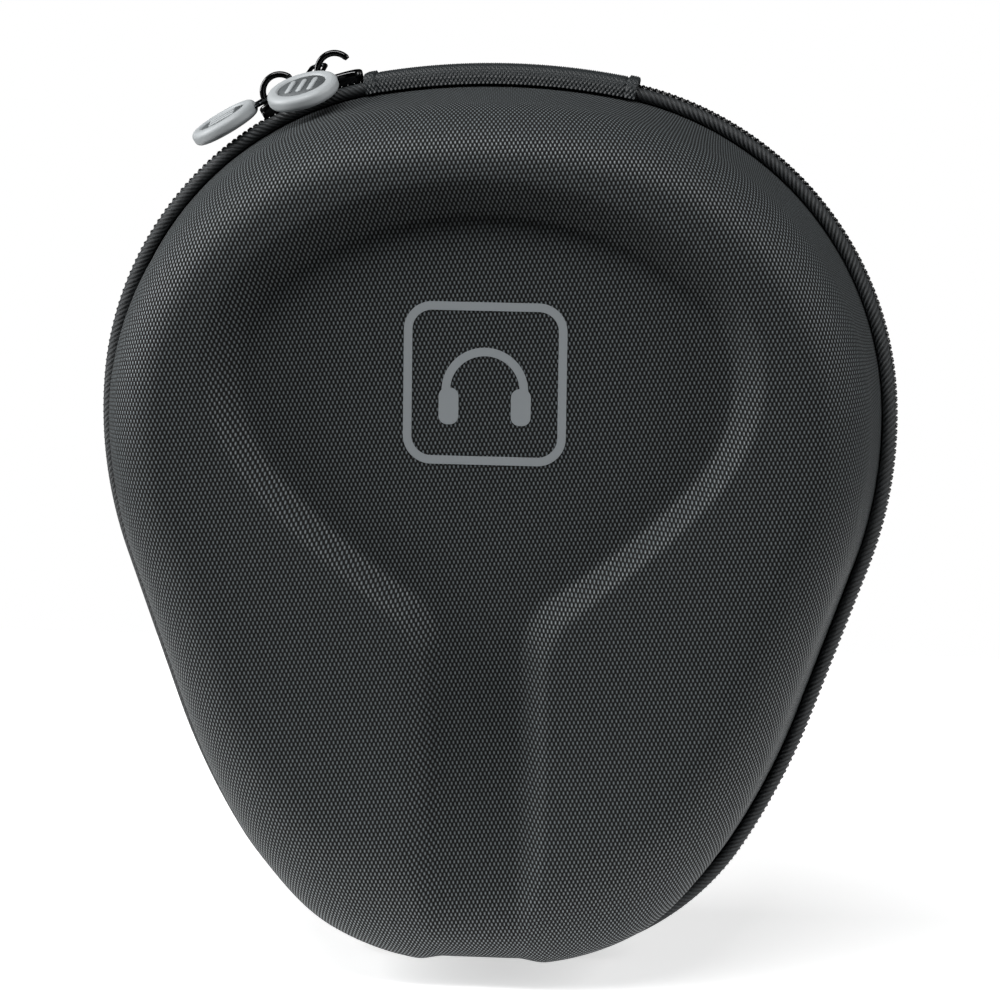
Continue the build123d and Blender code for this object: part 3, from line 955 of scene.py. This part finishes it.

# %% [markdown]
# # Sewn cloths
# The piping's cloth is a twill, so its weave is a set of slanting ribs: the plain weave
# formula with one spacing made very long. The tape and binding are finer, and the webbing
# already has its threads in the mesh, so it only needs a dry black finish. Sewn black
# polyester is duller than the shell's nylon. Each cloth's threads are one colour, and the
# darker colour between the threads and ribs is painted shade.

# %% Cloth materials
RIBS_ONLY = 1e5  # a spacing so long that only ribs one way are left


def make_cloth(name, low, high, spacing, bead, turn, roughness):
    """A dyed polyester cloth with its threads or ribs; the darker colour between them is painted
    shade.
    """
    made, tree, shader = new_material(name, {"IOR": 1.53, "Specular IOR Level": 0.3,
                                             "Roughness": roughness})
    uv = add_node(tree, "ShaderNodeUVMap", {"uv_map": "cloth"})
    height, normal = cloth_weave(tree, uv.outputs["UV"], *spacing, bead, math.radians(turn))
    fibre = add_node(tree, "ShaderNodeTexNoise", {"noise_dimensions": "2D"},
                     {"Vector": uv.outputs["UV"], "Scale": 3.0, "Detail": 3.0})
    # Darker between the threads as painted shade, plus the fibres' own uneven tone.
    painted_shade_and_tone = add_node(tree, "ShaderNodeMath", {"operation": "MULTIPLY_ADD", "use_clamp": True},
                   {0: height, 1: 0.35, 2: fibre.outputs["Fac"]})
    colour = add_node(tree, "ShaderNodeMix", {"data_type": "RGBA"},
                      {"Factor": painted_shade_and_tone.outputs[0], "A": linear(low), "B": linear(high)})
    tree.links.new(colour.outputs["Result"], shader.inputs["Base Color"])
    tree.links.new(normal, shader.inputs["Normal"])
    return made


# pieces, name, colours of the gaps (painted shade) and threads, spacing and height in mm, turn,
# roughness
CLOTHS = (
    (pipings, "bias_cut_twill", "#0a0b0b", "#3a3d3f", (0.6, RIBS_ONLY), 0.12, 45, 0.6),
    (tapes, "woven_zip_tape", "#0c0d0d", "#2a2c2d", (0.5, 0.5), 0.06, 0, 0.6),
    (bindings, "grosgrain_binding", "#0c0d0d", "#2c2e2f", (0.5, RIBS_ONLY), 0.08, 0, 0.6),
    ([webbing], "heavy_webbing", "#070808", "#3c4042", (0.31, 0.31), 0.02, 0, 0.42),
    (linings, "brushed_lining", "#131415", "#2b2d2f", (0.25, 0.25), 0.02, 0, 0.9),
)
for pieces, *details in CLOTHS:
    finish_with(pieces, make_cloth(*details))

# %% [markdown]
# # Nylon thread, lacquered metal, rubber and ink
# The teeth are drawn nylon, smooth enough to glint. The sliders are cast zinc under a
# glossy black lacquer, so each is a dark coat over a metal. The pull tabs are pressed steel,
# plated a dark grey. Their discs are moulded rubber with a fine matt grain, and the ink on
# the panel is a thin flat grey.

# %% Coil and metal materials
coil_nylon, _, _ = new_material("drawn_nylon", {"Base Color": linear("#0b0c0c"), "Roughness": 0.22,
                                                "IOR": 1.53})
finish_with(coils, coil_nylon)


def make_plated(name, colour, roughness, coat):
    """Plated or lacquered metal, with slight waves where it was cast or pressed."""
    made, tree, shader = new_material(name, {"Base Color": linear(colour), "Metallic": 1.0,
                                             "Coat Weight": coat, "Coat Roughness": 0.08})
    place = add_node(tree, "ShaderNodeTexCoord")
    wave = add_node(tree, "ShaderNodeTexNoise", {},
                    {"Vector": place.outputs["Object"], "Scale": 900.0})
    rough = remap(tree, wave.outputs["Fac"], (0.0, 1.0), (roughness * 0.8, roughness * 1.2))
    tree.links.new(rough, shader.inputs["Roughness"])
    return made


finish_with(sliders + hooks, make_plated("lacquered_zinc", "#141516", 0.25, 1.0))
finish_with(tabs, make_plated("plated_steel", "#2a2c2e", 0.3, 0.0))

# %% Rubber and ink materials


def make_matt(name, colour, roughness, grain_mm, specular):
    """Moulded rubber or ink: one colour with a fine matt grain."""
    made, tree, shader = new_material(name, {"Base Color": linear(colour), "Roughness": roughness,
                                             "IOR": 1.52, "Specular IOR Level": specular})
    place = add_node(tree, "ShaderNodeTexCoord")
    grain = add_node(tree, "ShaderNodeTexNoise", {}, {"Vector": place.outputs["Object"],
                                                      "Scale": 1000.0 / grain_mm, "Detail": 2.0})
    bump = add_node(tree, "ShaderNodeBump", {}, {"Height": grain.outputs["Fac"], "Strength": 0.3,
                                                 "Distance": 0.05 * MM})
    tree.links.new(bump.outputs["Normal"], shader.inputs["Normal"])
    return made


finish_with(discs, make_matt("grey_rubber", "#9a9ea0", 0.5, 0.4, 0.5))
finish_with(inlays, make_matt("dark_rubber", "#4a4e50", 0.6, 0.4, 0.5))
finish_with([frame["nodes"]["badge_print"]], make_matt("grey_ink", "#868b8e", 0.6, 0.3, 0.3))

# %% [markdown]
# # Camera, table and light
# The case stands on a small white table top. One light hangs above and in front, and a
# softer one stands at each side. The room looks white to the eye, but it gives light only
# from the sides, and the table's front edge is close. So slopes that face down or forward
# stay dark, and the moulding reads clearly.

# %% Camera
CAMERA_TURN = math.radians(4.6)
CAMERA_RISE = math.radians(9.0)
CAMERA_FAR = 1.2
CAMERA_ROLL = math.radians(0.8)
CAMERA_LENS = 147.3  # in mm, on a sensor 36 mm wide
AIM = Vector((0.0010, 0.0, 0.1368))


def place_camera():
    """The camera, a little to the right of the case and above its middle."""
    data = bpy.data.cameras.new("camera")
    data.lens, data.sensor_width = CAMERA_LENS, 36.0
    camera = bpy.data.objects.new("camera", data)
    bpy.context.scene.collection.objects.link(camera)
    level = math.cos(CAMERA_RISE)
    back = Vector((math.sin(CAMERA_TURN) * level, -math.cos(CAMERA_TURN) * level,
                   math.sin(CAMERA_RISE)))
    camera.location = AIM + back * CAMERA_FAR
    level_view = (-back).to_track_quat("-Z", "Y").to_matrix()
    camera.rotation_euler = (level_view @ Matrix.Rotation(CAMERA_ROLL, 3, "Z")).to_euler()
    bpy.context.scene.camera = camera


place_camera()

# %% Table top
TABLE_HALF_WIDTH = 380.0
TABLE_FRONT, TABLE_BACK = -135.0, 480.0


def make_table():
    """A small white table top that glows a little. Past its edges the room looks just as
    white, and its front edge is close so that the case's face isn't lit from under."""
    corners = [(-TABLE_HALF_WIDTH, TABLE_FRONT, 0), (TABLE_HALF_WIDTH, TABLE_FRONT, 0),
               (TABLE_HALF_WIDTH, TABLE_BACK, 0), (-TABLE_HALF_WIDTH, TABLE_BACK, 0)]
    table = make_object("table_top", corners, [(0, 1, 2, 3)], flat=True)
    made, _, _ = new_material("white_table", {"Base Color": linear("#f4f4f4"), "Roughness": 0.35,
                                              "Emission Color": linear("#ffffff"),
                                              "Emission Strength": 0.6})
    finish_with([table], made)


make_table()

# %% Lights


def add_softbox(name, place, aim, size, watts):
    """A soft area light at a place in metres, facing a point."""
    data = bpy.data.lights.new(name, "AREA")
    data.shape, data.size, data.size_y, data.energy = "RECTANGLE", size[0], size[1], watts
    light = bpy.data.objects.new(name, data)
    light.location = place
    light.rotation_euler = (Vector(aim) - Vector(place)).to_track_quat("-Z", "Y").to_euler()
    bpy.context.scene.collection.objects.link(light)


CASE_MIDDLE = (0.0, 0.0, 0.13)
add_softbox("top_light", (-0.15, -0.6, 1.1), CASE_MIDDLE, (1.0, 0.3), 13.0)
add_softbox("left_light", (-0.95, -0.15, 0.5), CASE_MIDDLE, (0.4, 0.6), 11.0)
add_softbox("right_light", (0.95, -0.25, 0.6), CASE_MIDDLE, (0.4, 0.6), 5.0)


def make_world():
    """White to the eye, but the room only gives light from the two sides."""
    world = bpy.data.worlds.new("white_room")
    bpy.context.scene.world = world
    world.use_nodes = True
    tree = world.node_tree
    tree.nodes.clear()
    where = add_node(tree, "ShaderNodeTexCoord")
    axes = add_node(tree, "ShaderNodeSeparateXYZ", {}, {"Vector": where.outputs["Generated"]})
    aside = calculate(tree, "ABSOLUTE", axes.outputs["X"])
    power = remap(tree, aside, (0.35, 0.95), (0.005, 0.15), curve="SMOOTHSTEP")
    room = add_node(tree, "ShaderNodeBackground", {},
                    {"Color": linear("#ffffff"), "Strength": power})
    seen = add_node(tree, "ShaderNodeBackground", {},
                    {"Color": linear("#ffffff"), "Strength": 1.0})
    ray = add_node(tree, "ShaderNodeLightPath")
    both = add_node(tree, "ShaderNodeMixShader", {}, {
        0: ray.outputs["Is Camera Ray"], 1: room.outputs[0], 2: seen.outputs[0]})
    add_node(tree, "ShaderNodeOutputWorld", {}, {"Surface": both.outputs[0]})


make_world()
bpy.context.scene.view_settings.view_transform = "Standard"
